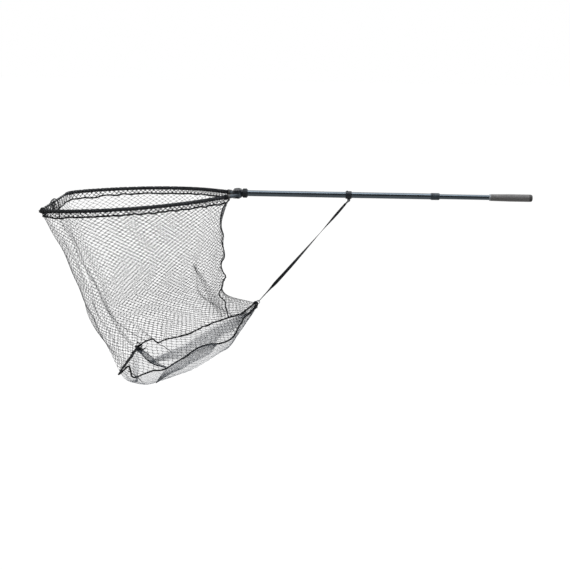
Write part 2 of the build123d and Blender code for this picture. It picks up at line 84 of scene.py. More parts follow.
def make_camera():
    """Long lens beside the net, a little above it and slightly rolled."""
    back = Vector((sin(CAMERA_AZIMUTH) * cos(CAMERA_ELEVATION),
                   -cos(CAMERA_AZIMUTH) * cos(CAMERA_ELEVATION), sin(CAMERA_ELEVATION)))
    right = Vector((cos(CAMERA_AZIMUTH), sin(CAMERA_AZIMUTH), 0.0))
    up = back.cross(right)
    rolled_right = right * cos(CAMERA_ROLL) + up * sin(CAMERA_ROLL)
    rolled_up = up * cos(CAMERA_ROLL) - right * sin(CAMERA_ROLL)
    camera = bpy.data.objects.new("camera", bpy.data.cameras.new("camera"))
    camera.data.lens = CAMERA_LENS
    camera.data.clip_end = 60.0
    turn = Matrix((rolled_right, rolled_up, back)).transposed().to_4x4()
    camera.matrix_world = Matrix.Translation(CAMERA_TARGET + back * CAMERA_DISTANCE) @ turn
    bpy.context.scene.collection.objects.link(camera)
    bpy.context.scene.camera = camera


def make_overhead_light():
    """Soft rectangular light over the net."""
    light = bpy.data.objects.new("overhead", bpy.data.lights.new("overhead", "AREA"))
    light.data.shape = "RECTANGLE"
    light.data.size, light.data.size_y = OVERHEAD_SIZE
    light.data.energy = OVERHEAD_POWER
    light.data.color = OVERHEAD_COLOUR
    light.location = OVERHEAD_PLACE
    aim = Vector(OVERHEAD_AIM) - Vector(OVERHEAD_PLACE)
    light.rotation_euler = aim.to_track_quat("-Z", "Y").to_euler()
    bpy.context.scene.collection.objects.link(light)


make_camera()

# ---- materials ----

NOISE_LOW, NOISE_HIGH = 0.3, 0.7  # most of a noise texture's values lie between these


def fill(node, **values):
    """Sets a node's inputs by name, where _ stands for a space."""
    for name, value in values.items():
        node.inputs[name.replace("_", " ")].default_value = value
    return node


class Shader:
    """A principled material with helpers for its node tree."""

    def __init__(self, name, colour, roughness, metallic=0.0, specular=0.5):
        self.material = bpy.data.materials.new(name)
        self.material.use_nodes = True
        self.nodes = self.material.node_tree.nodes
        self.links = self.material.node_tree.links
        self.surface = fill(self.nodes["Principled BSDF"], Base_Color=(*colour, 1.0),
                            Roughness=roughness, Metallic=metallic, Specular_IOR_Level=specular)
        self.colour, self.roughness = colour, roughness
        self.place = self.node("TexCoord").outputs["Object"]
        self.normal = None

    def node(self, kind, **settings):
        made = self.nodes.new(f"ShaderNode{kind}")
        for key, value in settings.items():
            setattr(made, key, value)
        return made

    def stretched(self, scale, turn=(0.0, 0.0, 0.0)):
        """Object coordinates scaled and turned."""
        mapping = fill(self.node("Mapping"), Scale=scale, Rotation=turn)
        self.links.new(self.place, mapping.inputs["Vector"])
        return mapping.outputs["Vector"]

    def noise(self, scale, detail=4.0, stretch=(1.0, 1.0, 1.0)):
        made = fill(self.node("TexNoise"), Scale=scale, Detail=detail)
        self.links.new(self.stretched(stretch), made.inputs["Vector"])
        return made.outputs["Fac"]

    def wave(self, scale, distortion=0.0, turn=(0.0, 0.0, 0.0), direction="X"):
        made = self.node("TexWave", bands_direction=direction)
        fill(made, Scale=scale, Distortion=distortion)
        self.links.new(self.stretched((1.0, 1.0, 1.0), turn), made.inputs["Vector"])
        return made.outputs["Fac"]

    def cells(self, scale):
        made = fill(self.node("TexVoronoi"), Scale=scale)
        self.links.new(self.place, made.inputs["Vector"])
        return made.outputs["Distance"]

    def ranged(self, value, low, high, start=NOISE_LOW, end=NOISE_HIGH):
        made = fill(self.node("MapRange"), From_Min=start, From_Max=end, To_Min=low, To_Max=high)
        self.links.new(value, made.inputs["Value"])
        return made.outputs["Result"]

    def maths(self, operation, a, b):
        made = self.node("Math", operation=operation)
        for socket, value in zip(made.inputs, (a, b)):
            if isinstance(value, (int, float)):
                socket.default_value = value
            else:
                self.links.new(value, socket)
        return made.outputs["Value"]

    def tint(self, value, dark, light):
        """Base colour between two shades of the material's colour."""
        ramp = self.node("ValToRGB")
        ends = ((NOISE_LOW, dark), (NOISE_HIGH, light))
        for element, (position, shade) in zip(ramp.color_ramp.elements, ends):
            element.position = position
            element.color = (*[channel * shade for channel in self.colour], 1.0)
        self.links.new(value, ramp.inputs["Fac"])
        self.links.new(ramp.outputs["Color"], self.surface.inputs["Base Color"])

    def rough(self, value, spread):
        """Roughness varied about the material's own."""
        low, high = self.roughness - spread, self.roughness + spread
        self.links.new(self.ranged(value, low, high), self.surface.inputs["Roughness"])

    def bump(self, height, strength, distance):
        made = fill(self.node("Bump"), Strength=strength, Distance=distance)
        self.links.new(height, made.inputs["Height"])
        if self.normal:
            self.links.new(self.normal, made.inputs["Normal"])
        self.normal = made.outputs["Normal"]
        self.links.new(self.normal, self.surface.inputs["Normal"])


def anodised(name, colour, roughness):
    """Drawn and anodised tube: fine lines along it, faint clouding and rubbed patches."""
    s = Shader(name, colour, roughness, 0.92)
    lines = s.noise(1.0, 1.0, (4.0, 900.0, 900.0))
    s.tint(s.maths("MULTIPLY", s.noise(26.0, 5.0), s.ranged(lines, 0.95, 1.05)), 0.92, 1.10)
    s.rough(s.noise(20.0, 2.0), 0.03)
    s.bump(lines, 0.02, 0.00001)
    return s.material


def moulded(name, colour, roughness, grain=1500.0):
    """Moulded plastic or rubber with a fine eroded grain and dusty scuffs."""
    s = Shader(name, colour, roughness, specular=0.16)
    s.tint(s.noise(70.0, 6.0), 0.75, 1.5)
    s.rough(s.noise(120.0, 5.0), 0.09)
    s.bump(s.cells(grain), 0.25, 0.00012)
    s.bump(s.noise(300.0, 4.0), 0.12, 0.0002)
    return s.material


def foam(name, colour):
    """Closed-cell grip foam: pitted skin with darker pores and handling marks."""
    s = Shader(name, colour, 0.78)
    pores = s.cells(900.0)
    s.tint(s.maths("MULTIPLY", s.noise(150.0, 6.0), s.ranged(pores, 0.8, 1.15, 0.0, 0.5)), 0.8, 1.2)
    s.rough(s.noise(90.0, 4.0), 0.08)
    s.bump(pores, 0.45, 0.0003)
    s.bump(s.noise(2600.0, 3.0), 0.25, 0.0001)
    fill(s.surface, Sheen_Weight=0.15)
    return s.material


def steel(name, colour):
    """Black-zinc plated steel with turning marks and small tarnished spots."""
    s = Shader(name, colour, 0.34, 1.0)
    s.tint(s.noise(240.0, 6.0), 0.7, 1.1)
    s.rough(s.noise(500.0, 5.0), 0.1)
    s.bump(s.wave(900.0, 2.0, (0.3, 0.5, 0.2)), 0.08, 0.00005)
    return s.material


def painted(name, colour, roughness, metallic):
    """Painted or coated alloy: orange peel, faint wear and dulled patches."""
    s = Shader(name, colour, roughness, metallic, 0.25)
    s.tint(s.noise(95.0, 7.0), 0.7, 1.45)
    s.rough(s.noise(140.0, 5.0), 0.1)
    s.bump(s.noise(900.0, 2.0), 0.1, 0.0001)
    return s.material


def thread(name, colour, pitch):
    """Twisted or braided yarn: slanting plies both ways, fuzz and uneven dye."""
    s = Shader(name, colour, 0.72, specular=0.12)
    plies = s.wave(pitch, 1.2, (0.5, 0.7, 0.4))
    counter = s.wave(pitch * 1.1, 1.2, (-0.6, -0.5, 1.1), "Z")
    s.tint(s.maths("MULTIPLY", s.noise(45.0, 6.0), s.ranged(plies, 0.8, 1.15)), 0.65, 1.4)
    s.rough(s.noise(200.0, 3.0), 0.1)
    s.bump(s.maths("MAXIMUM", plies, counter), 0.5, 0.00025)
    s.bump(s.noise(3000.0, 4.0), 0.2, 0.0001)
    return s.material


def webbing(name, colour):
    """Narrow woven strap: ribs across it, warp lines along it, a slightly shiny yarn."""
    s = Shader(name, colour, 0.6, specular=0.15)
    s.place = s.node("TexCoord").outputs["UV"]
    ribs = s.wave(330.0, 0.4)
    warp = s.wave(420.0, 0.3, direction="Y")
    woven = s.maths("MULTIPLY", ribs, warp)
    s.tint(s.maths("MULTIPLY", s.noise(60.0, 5.0), s.ranged(woven, 0.75, 1.2)), 0.6, 1.6)
    s.rough(s.noise(220.0, 3.0), 0.1)
    s.bump(woven, 0.6, 0.0003)
    return s.material


MATERIALS = {name: make(name, *looks) for name, make, *looks in (
    ("tube_anodised", anodised, (0.054, 0.065, 0.075), 0.24),
    ("inner_anodised", anodised, (0.050, 0.061, 0.070), 0.24),
    ("moulded_black", moulded, (0.005, 0.0065, 0.009), 0.42),
    ("acetal", moulded, (0.030, 0.030, 0.032), 0.35, 2500.0),
    ("grip_foam", foam, (0.054, 0.051, 0.050)),
    ("trim_light", moulded, (0.16, 0.17, 0.18), 0.4, 2500.0),
    ("cap_rubber", moulded, (0.030, 0.029, 0.028), 0.62, 900.0),
    ("steel", steel, (0.045, 0.048, 0.053)),
    ("arm_alloy", painted, (0.005, 0.006, 0.007), 0.50, 0.0),
    ("socket_alloy", painted, (0.035, 0.042, 0.050), 0.30, 0.8),
    ("net_dark", thread, (0.016, 0.017, 0.020), 800.0),
    ("cord_black", thread, (0.004, 0.0045, 0.0055), 420.0),
    ("mesh_fine", thread, (0.095, 0.104, 0.118), 1500.0),
    ("webbing", webbing, (0.005, 0.0055, 0.0065)),
)}

for part in frame["record"]["subparts"]:
    cad_mesh = frame["nodes"][part["node"]].data
    cad_mesh.materials.clear()
    cad_mesh.materials.append(MATERIALS[part["material_slot"]])

ferrule_mesh = frame["nodes"]["end_ferrule"].data
ferrule_mesh.materials[0] = moulded("ferrule_plastic", (0.016, 0.021, 0.026), 0.36)

# ---- mesh building ----


def mesh_object(name, points, quads, slot, caps=None):
    """Mesh object from arrays of points, four-sided faces and, if given, other faces."""
    mesh = bpy.data.meshes.new(name)
    loops, starts = [np.asarray(quads).ravel()], [4 * np.arange(len(quads))]
    if caps is not None:
        size = np.asarray(caps).shape[1]
        starts.append(len(loops[0]) + size * np.arange(len(caps)))
        loops.append(np.asarray(caps).ravel())
    loops, starts = np.concatenate(loops), np.concatenate(starts)
    mesh.vertices.add(len(points))
    mesh.vertices.foreach_set("co", np.asarray(points, np.float32).ravel())
    mesh.loops.add(len(loops))
    mesh.loops.foreach_set("vertex_index", loops.astype(np.int32))
    mesh.polygons.add(len(starts))
    mesh.polygons.foreach_set("loop_start", starts.astype(np.int32))
    mesh.polygons.foreach_set("use_smooth", np.ones(len(starts), bool))
    mesh.update(calc_edges=True)
    mesh.materials.append(MATERIALS[slot])
    made = bpy.data.objects.new(name, mesh)
    bpy.context.scene.collection.objects.link(made)
    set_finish(made, slot)
    return made


def unit(vectors):
    """Vectors scaled to length one."""
    return vectors / np.maximum(np.linalg.norm(vectors, axis=-1, keepdims=True), 1e-12)


def tube_faces(count, length, sides):
    """Walls and end caps of tubes whose points are numbered tube by tube and ring by ring."""
    number = np.arange(count * length * sides).reshape(count, length, sides)
    here, ahead = number[:, :-1], number[:, 1:]
    quads = np.stack([here, ahead, np.roll(ahead, -1, 2), np.roll(here, -1, 2)], -1).reshape(-1, 4)
    return quads, np.concatenate([number[:, 0], number[:, -1, ::-1]])


def tube_object(name, paths, radii, sides, beside, slot):
    """Round tubes along paths, an array (tube, point, xyz), all joined in one piece."""
    along = unit(np.gradient(paths, axis=1))
    across = unit(np.cross(along, np.broadcast_to(beside, paths.shape)))
    over = np.cross(across, along)
    radii = np.broadcast_to(radii, paths.shape[:2])[..., None, None]
    angles = 2 * pi * np.arange(sides) / sides
    ring = (np.cos(angles)[:, None] * across[:, :, None] + np.sin(angles)[:, None] * over[:, :, None])
    points = (paths[:, :, None] + radii * ring).reshape(-1, 3)
    quads, caps = tube_faces(*paths.shape[:2], sides)
    return mesh_object(name, points, quads, slot, caps)


def hermite(t):
    """Weights of a span's two ends and of the slopes at them, at each share of the span."""
    return 2 * t**3 - 3 * t**2 + 1, 3 * t**2 - 2 * t**3, t**3 - 2 * t**2 + t, t**3 - t**2


def smooth_line(knots, values, where):
    """Catmull-Rom curve through values at the knots, read at each place."""
    knots, values, where = (np.asarray(given, float) for given in (knots, values, where))
    slopes = np.gradient(values, knots, axis=0)
    span = np.clip(np.searchsorted(knots, where, side="right") - 1, 0, len(knots) - 2)
    width = (knots[span + 1] - knots[span])[..., None]
    t = (where[..., None] - knots[span][..., None]) / width
    start, end, leave, arrive = hermite(t)
    return (start * values[span] + end * values[span + 1]
            + width * (leave * slopes[span] + arrive * slopes[span + 1]))


def lengths(points):
    """Distance along a polyline at each of its points."""
    steps = np.linalg.norm(np.diff(points, axis=0), axis=1)
    return np.concatenate([[0.0], np.cumsum(steps)])


def read_line(where, knots, points):
    """Points of a polyline at each place between its knots."""
    return np.stack([np.interp(where, knots, points[:, axis]) for axis in range(3)], -1)


def line_through(points, spacing):
    """Evenly spaced points on a smooth curve through given points."""
    points = np.asarray(points, float)
    run = lengths(points)
    fine = smooth_line(run, points, np.linspace(0, run[-1], 30 * len(points)))
    fine_run = lengths(fine)
    steps = max(int(fine_run[-1] / spacing), 6)
    want = np.linspace(0, fine_run[-1], steps + 1)
    return read_line(want, fine_run, fine)


def nurbs_line(name, points):
    """Points on the smooth spline whose control points are a route's points."""
    curve = bpy.data.curves.new(name, "CURVE")
    curve.dimensions = "3D"
    curve.resolution_u = 40
    spline = curve.splines.new("NURBS")
    spline.points.add(len(points) - 1)
    for control, place in zip(spline.points, points):
        control.co = (*place, 1.0)
    spline.order_u = 3
    spline.use_endpoint_u = True
    holder = bpy.data.objects.new(name, curve)
    mesh = bpy.data.meshes.new_from_object(holder)
    found = np.zeros(3 * len(mesh.vertices))
    mesh.vertices.foreach_get("co", found)
    bpy.data.meshes.remove(mesh)
    bpy.data.objects.remove(holder)
    bpy.data.curves.remove(curve)
    return found.reshape(-1, 3)


def wobble(count, spacing, size, pitch):
    """Smooth random offsets along a line: count values, about pitch metres from bump to bump."""
    knots = np.arange(0.0, count * spacing + 3 * pitch, pitch)
    values = rng.normal(0.0, size, (len(knots), 3))
    return smooth_line(knots, values, spacing * np.arange(count))


ROPE_SIDES, ROPE_BESIDE = 10, (0.13, 0.21, 0.97)
ROPE_UNEVEN = 0.10  # share of its radius by which a rope swells and thins


def rope(name, points, radius, slot="cord_black", spacing=0.003, waves=0.0, pitch=0.02):
    """Braided cord along given points, a little uneven in its line and thickness."""
    path = line_through(points, spacing)
    shift = wobble(len(path), spacing, 1.0, pitch)
    path = path + waves * shift
    radii = radius * (1 + ROPE_UNEVEN * np.clip(shift[:, 0], -1, 1))
    return tube_object(name, path[None], radii, ROPE_SIDES, ROPE_BESIDE, slot)


def attach(piece, stands_for=None, body="shaft"):
    """Fixes a piece to a body, in place of a CAD node if one is named."""
    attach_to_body(piece, body)
    if stands_for:
        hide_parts(stands_for)


# ---- shape of the rim ----

DROOP, RIM_DROP = radians(3.3), 0.006
RIM_X = np.array((cos(DROOP), 0.0, sin(DROOP)))
RIM_UP = np.array((-sin(DROOP), 0.0, cos(DROOP)))
PIVOT_X, PIVOT_Y, SPLAY = 0.028, 0.029, radians(47.0)
ARM_R = 0.0055
ARM_STRAIGHT = 0.158
ARM_ARCS = ((0.500, radians(47.0)), (0.430, radians(22.0)), (0.070, radians(58.0)))
ARM_LENGTH = ARM_STRAIGHT + sum(radius * turn for radius, turn in ARM_ARCS)
HEM_START = 0.060
SEAM_DROP = 0.0204
FRONT_X = -0.6505
REAR_BULGE = 0.004  # how far the net's rear edge stands back at the rear seam
TIP_TURN = 5  # how sharply the front edge turns off the arms' tips
SEAM_SAG = {-1: 0.003, 1: 0.015}  # how much lower the seam cords hang at the front
SAG_START, SAG_SPAN, SAG_POWER = 0.45, 0.5, 1.5


def in_rim(x, y, up=0.0):
    """Points of the rim plane, x towards the handle, in the row frame."""
    x, y, up = np.broadcast_arrays(np.asarray(x, float), y, up)
    base = np.array((-HOLD, 0.0, -RIM_DROP)) + x[..., None] * RIM_X + up[..., None] * RIM_UP
    return base + y[..., None] * np.array((0.0, 1.0, 0.0))


def arm_line(run):
    """x, y and heading of the near or far arm in the rim plane, at each run from its pivot."""
    run = np.asarray(run, float)
    heading = pi - SPLAY
    x = PIVOT_X + np.minimum(run, ARM_STRAIGHT) * cos(heading)
    y = PIVOT_Y + np.minimum(run, ARM_STRAIGHT) * sin(heading)
    angle = np.full(run.shape, heading)
    begun = ARM_STRAIGHT
    for radius, turn in ARM_ARCS:
        bend = np.clip((run - begun) / radius, 0.0, turn)
        x = x + radius * (np.sin(angle + bend) - np.sin(angle))
        y = y - radius * (np.cos(angle + bend) - np.cos(angle))
        angle = angle + bend
        begun += radius * turn
    return x, y, angle


TIP_X, TIP_Y = (float(value) for value in arm_line(ARM_LENGTH)[:2])
REAR_HALF = float(arm_line(HEM_START)[1])
HALF_RIM = REAR_HALF + ARM_LENGTH - HEM_START + TIP_Y


def seam_drop(share, side):
    """Depth of the seam cord under the rim: it hangs lower along the far half's front."""
    ahead = np.clip((np.asarray(share, float) - SAG_START) / SAG_SPAN, 0, 1)
    return SEAM_DROP + SEAM_SAG[side] * ahead**SAG_POWER


def rim_point(share, side, up=None, out=0.0):
    """Point on one half of the rim: share 0 at the rear seam and 1 at the middle of the front."""
    if up is None:
        up = -seam_drop(share, side)
    run = np.asarray(share, float) * HALF_RIM
    x, y, angle = arm_line(np.clip(run - REAR_HALF + HEM_START, HEM_START, ARM_LENGTH))
    rear = np.clip(run / REAR_HALF, 0.0, 1.0)
    y = np.where(run < REAR_HALF, rear * REAR_HALF, y)
    x = np.where(run < REAR_HALF, x + REAR_BULGE * (1 - rear), x)
    front = np.clip((run - HALF_RIM + TIP_Y) / TIP_Y, 0.0, 1.0)
    y = np.where(front > 0, TIP_Y * (1 - front), y)
    x = np.where(front > 0, TIP_X + (FRONT_X - TIP_X) * np.minimum(1.0, TIP_TURN * front), x)
    x = x + out * np.sin(angle)
    y = y - out * np.cos(angle)
    return in_rim(x, side * y, up)


# ---- shape of the bag ----

# Half widths of the bag at fractions of the way from its rear to its front, at rim and base
FRACTIONS = np.array((0.0, 0.10, 0.23, 0.43, 0.68, 0.88, 0.97, 1.0))
RIM_WIDTHS = np.array((0.060, 0.143, 0.212, 0.276, 0.301, 0.284, 0.246, 0.213))
BASE_WIDTHS = np.array((0.008, 0.048, 0.104, 0.152, 0.181, 0.187, 0.182, 0.170))
# The rear half width, and the rear and front ends (station, z), of each level from the rim down
REAR_WIDTHS = (0.060, 0.030, 0.024, 0.034, 0.014)
REARS = ((-0.015, -0.0315), (-0.033, -0.150), (-0.033, -0.265), (-0.030, -0.372), (0.095, -0.410))
FRONTS = ((-0.648, -0.068), (-0.586, -0.200), (-0.530, -0.348), (-0.478, -0.488), (-0.382, -0.646))
LEVELS = len(REARS)
# Share of the last widths that is left where the front corners are slack, the far one more so
CORNER_EASE = {-1: (1.0, 0.97, 0.90), 1: (0.98, 0.90, 0.72)}
# How much further forward each level reaches at the far front corner, or less far where negative
FAR_FORWARD = (0.0, 0.020, -0.012, -0.012, 0.0)

# The cord round the base, from the rear corner to the front, (station, y, z)
NEAR_BASE = (
    (0.095, 0.0, -0.410), (0.092, -0.006, -0.418), (0.076, -0.025, -0.442), (0.057, -0.050, -0.452),
    (0.045, -0.075, -0.470), (0.033, -0.100, -0.490), (0.018, -0.125, -0.513), (-0.002, -0.145, -0.524),
    (-0.028, -0.160, -0.529), (-0.061, -0.172, -0.529), (-0.091, -0.180, -0.536), (-0.118, -0.184, -0.553),
    (-0.151, -0.186, -0.575), (-0.184, -0.188, -0.596), (-0.215, -0.190, -0.617), (-0.269, -0.190, -0.630),
    (-0.300, -0.188, -0.643), (-0.336, -0.184, -0.650), (-0.386, -0.173, -0.648))
FAR_BASE = (
    (0.095, 0.0, -0.410), (0.090, 0.005, -0.411), (0.078, 0.020, -0.426), (0.048, 0.048, -0.453),
    (0.017, 0.075, -0.475), (-0.020, 0.105, -0.493), (-0.064, 0.135, -0.515), (-0.107, 0.155, -0.537),
    (-0.168, 0.172, -0.570), (-0.211, 0.180, -0.587), (-0.247, 0.184, -0.598), (-0.276, 0.186, -0.606),
    (-0.299, 0.186, -0.614), (-0.318, 0.184, -0.602), (-0.336, 0.182, -0.606), (-0.376, 0.170, -0.634))
FRONT_MIDDLE = (-0.388, 0.0, -0.646)


def rounded(points):
    """Line with its corners cut again and again, as a slack net takes them."""
    for _ in range(3):
        early, late = 0.75 * points[:-1] + 0.25 * points[1:], 0.25 * points[:-1] + 0.75 * points[1:]
        points = np.vstack([points[:1], np.stack([early, late], 1).reshape(-1, 3), points[-1:]])
    return points


def level_outline(level, side):
    """Points of one level of the bag, from the rear seam to the middle of the front."""
    share = level / (LEVELS - 1)
    widths = RIM_WIDTHS + share * (BASE_WIDTHS - RIM_WIDTHS)
    widths[0] = REAR_WIDTHS[level]
    widths[-3:] *= CORNER_EASE[side]
    rear, front = np.array(REARS[level]), np.array(FRONTS[level])
    spine = rear + FRACTIONS[:, None] * (front - rear)
    if side > 0:
        spine[:, 0] -= FAR_FORWARD[level] * FRACTIONS**4
    edge = np.stack([spine[:, 0], side * widths, spine[:, 1]], 1)
    return np.vstack([(rear[0], 0, rear[1]), edge, (front[0], 0, front[1])])


TOP_RUN = lengths(level_outline(0, 1))
CORNER = TOP_RUN[-2] / TOP_RUN[-1]  # share of the half rim at the bag's front corner
BASES = {side: line_through(placed(route), 0.002) for side, route in ((-1, NEAR_BASE), (1, FAR_BASE))}
BASE_CROWDING = 1.09  # the net's columns crowd towards the rear corner


def base_point(share, side):
    """Point of the base cord under a share of the half rim, straight across the front."""
    points = BASES[side]
    place = np.minimum(np.asarray(share, float) / CORNER, 1.0) ** BASE_CROWDING * (len(points) - 1)
    ahead = np.clip((share - CORNER) / (1 - CORNER), 0, 1)[..., None]
    found = read_line(place, np.arange(len(points)), points)
    return found + ahead * (placed(FRONT_MIDDLE) - found)


def bag_point(share, down, side):
    """Point of the bag's wall: share round the half rim, down from 0 at the hem to 1 at the base."""
    share, down = np.broadcast_arrays(np.asarray(share, float), np.asarray(down, float))
    levels = [rim_point(share, side)]
    for level in range(1, LEVELS - 1):
        outline = placed(rounded(level_outline(level, side)))
        own = lengths(outline) / lengths(outline)[-1]
        levels.append(read_line(share, own, outline))
    levels.append(base_point(share, side))
    levels = np.stack(levels)
    slopes = np.gradient(levels, axis=0)
    place = np.clip(down, 0, 1) * (LEVELS - 1)
    span = np.minimum(place.astype(int), LEVELS - 2)
    t = (place - span)[..., None]
    grid = np.indices(share.shape)

    def pick(values, step):
        return values[(span + step, *grid)]

    start, end, leave, arrive = hermite(t)
    return (start * pick(levels, 0) + end * pick(levels, 1)
            + leave * pick(slopes, 0) + arrive * pick(slopes, 1))


REAR_SEAM = (
    (-0.010, 0.0, -0.026), (-0.026, 0.0, -0.050), (-0.036, 0.0, -0.077), (-0.039, 0.0, -0.103),
    (-0.035, 0.0, -0.132), (-0.029, 0.0, -0.158), (-0.032, 0.0, -0.185), (-0.025, 0.0, -0.218),
    (-0.026, 0.0, -0.241), (-0.033, 0.0, -0.256), (-0.030, 0.0, -0.293), (-0.019, 0.0, -0.310),
    (-0.027, 0.004, -0.331), (-0.033, 0.010, -0.354), (-0.045, 0.022, -0.382), (-0.042, 0.034, -0.396),
    (-0.026, 0.046, -0.414), (-0.024, 0.060, -0.437), (-0.020, 0.080, -0.462), (-0.016, 0.100, -0.490))
SEAM_RUN = line_through(placed(REAR_SEAM), 0.002)
SEAM_LEAVES = 0.390  # run down the rear at which the seam turns off along the far side
SEAM_FADE = 0.08  # run over which the net lets go of it before that
SEAM_REACH = 0.040  # share of the half rim over which the net follows the rear seam
SEAM_PULL = (1.0, 0.6, 1.0)  # how fully it follows in x, y and z


def beside_seam(points, share, down):
    """Netting drawn on to the wavy rear seam, less and less further from it."""
    heights = np.linspace(0, 1, 400)
    line = bag_point(np.zeros(len(heights)), heights, 1)
    last = len(heights) - 1
    drop = lengths(line)[np.clip((down * last).astype(int), 0, last)]
    place = drop / lengths(SEAM_RUN)[-1] * (len(SEAM_RUN) - 1)
    on_seam = read_line(place, np.arange(len(SEAM_RUN)), SEAM_RUN)
    on_line = read_line(down, heights, line)
    ended = np.clip((SEAM_LEAVES - drop) / SEAM_FADE, 0, 1)
    pull = np.exp(-((share / SEAM_REACH) ** 2)) * ended
    return points + pull[..., None] * (on_seam - on_line) * SEAM_PULL


# ---- netting ----

NET_COLUMNS, NET_ROWS = 76, 78  # half cells round half the rim, and down the wall
FRONT_OPEN = 0.62  # columns across the front panel, as a share of those at the sides
NET_R, NET_SIDES = 0.00053, 4
KNOT = 0.13  # half height of a knot, in rows
KNOT_THICK, STRAND_THIN = 1.45, 0.92  # thickness at a knot and between knots, in radii
STRAND_GAP = 0.045  # how far a strand stays from the middle of its knots, in columns
NET_LOOSE = 0.10  # unevenness of the knots' places, in columns, and a little less in rows
ROW_SPREAD = 0.12  # how much taller the cells are at the hem, and shorter at the base
SWAY = 0.010  # slow rise and fall of the rows
RIPPLE, SMALL_RIPPLE = 0.0040, 0.0016
FADE_IN, FADE_OUT = 0.1, 0.08  # share of the wall's height over which a gather begins and ends


def strands(columns, rows, knot):
    """Columns and rows passed by each zigzag strand of a diamond net, and where it is thick."""
    lines = [(start, lean) for start in range(0, columns + 1, 2) for lean in (1, -1)
             if 0 <= start + lean <= columns]
    row = np.arange(rows + 1)
    column = np.array([start + lean * (row % 2) for start, lean in lines], float)
    lean = np.array([lean for start, lean in lines], float)[:, None]
    apart = STRAND_GAP * np.where(row % 2, -lean, lean)
    if not knot:
        return column, np.broadcast_to(row, column.shape).astype(float), np.ones(column.shape)
    across, along, thick = [], [], []
    for number in row:
        for step in (-knot, knot):
            across.append(column[:, number] + apart[:, number])
            along.append(np.full(len(lines), np.clip(number + step, 0, rows)))
            thick.append(np.full(len(lines), KNOT_THICK))
        if number < rows:
            across.append((column[:, number] + column[:, number + 1]) / 2)
            along.append(np.full(len(lines), number + 0.5))
            thick.append(np.full(len(lines), STRAND_THIN))
    return np.stack(across, 1), np.stack(along, 1), np.stack(thick, 1)


def at_knots(values, column, row):
    """Values of a grid at the knots nearest to each column and row."""
    return values[..., np.rint(column).astype(int), np.rint(row).astype(int)]


def spaced(columns):
    """Share of the half rim at each share of the columns, which are sparser across the front."""
    total = CORNER + FRONT_OPEN * (1 - CORNER)
    return np.interp(columns, (0.0, CORNER / total, 1.0), (0.0, CORNER, 1.0))


def ripples(share, down, side):
    """Slow unevenness of the hanging net, out of its surface."""
    slow = np.sin(31 * share + 9 * down + side) * np.sin(17 * down - 13 * share)
    quick = np.sin(57 * share - 21 * down + 2 * side)
    return (RIPPLE * slow + SMALL_RIPPLE * quick) * np.sin(pi * np.clip(down, 0, 1)) ** 0.5


def gathered(share, down, centre, width, start, end, strength):
    """Shares drawn in towards a crease line that runs between two heights."""
    fade = np.clip((down - start) / FADE_IN, 0, 1) * np.clip((end - down) / FADE_OUT, 0, 1)
    pull = np.exp(-(((share - centre) / width) ** 2)) * strength
    return share + fade * pull * (centre - share)


WALL_MIDDLE = (-0.30, 0.0, 0.0)


def wall_object(name, side):
    """Half of the bag's netting, made of knotted strands that hang from the hem to the base."""
    column, row, thick = strands(NET_COLUMNS, NET_ROWS, KNOT)
    loose = rng.normal(0.0, NET_LOOSE, (2, NET_COLUMNS + 3, NET_ROWS + 2))
    aside, lower = at_knots(loose, column, row)
    share = (column + aside) / NET_COLUMNS
    down = (row + 0.8 * lower * (row > 0) * (row < NET_ROWS)) / NET_ROWS
    share, down = spaced(np.clip(share, 0, 1)), np.clip(down, 0, 1)
    down = (1 + ROW_SPREAD) * down - ROW_SPREAD * down**2
    down = down + SWAY * np.sin(9 * share + side) * np.sin(pi * down)
    if side > 0:
        crease = 1 - 0.21 * np.clip((down - 0.34) / 0.66, 0, 1) ** 0.75
        share = gathered(share, down, crease, 0.036, 0.33, 1.08, 0.92)
        share = gathered(share, down, 0.255 - 0.02 * down, 0.066, 0.40, 1.08, 0.76)
    points = beside_seam(bag_point(share, down, side), share, down)
    outward = points - placed(WALL_MIDDLE)
    outward[..., 2] = 0.0
    outward = unit(outward)
    points = points + outward * ripples(share, down, side)[..., None]
    made = tube_object(name, points, NET_R * thick, NET_SIDES, outward, "net_dark")
    return made, share, down


ARM_BODY = {-1: "near_side", 1: "far_side"}
SIDES = ((-1, "near"), (1, "far"))


def bind_half(piece):
    """A piece that hangs between the shaft and an arm, its placement baked into its mesh."""
    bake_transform(piece)


for side, name in SIDES:
    wall, share, down = wall_object(f"{name}_netting", side)
    bind_half(wall)
    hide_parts(f"{name}_net")

# ---- slack fold in the far wall, above the rear corner ----

# Both edges of the fold, from its top down, (station, y, z)
SLACK_RIGHT = (
    (-0.156, 0.150, -0.295), (-0.114, 0.142, -0.351), (-0.074, 0.130, -0.406), (-0.042, 0.115, -0.449),
    (-0.022, 0.100, -0.476))
SLACK_LEFT = (
    (-0.154, 0.150, -0.303), (-0.121, 0.140, -0.366), (-0.089, 0.126, -0.425), (-0.065, 0.112, -0.468),
    (-0.044, 0.100, -0.492))
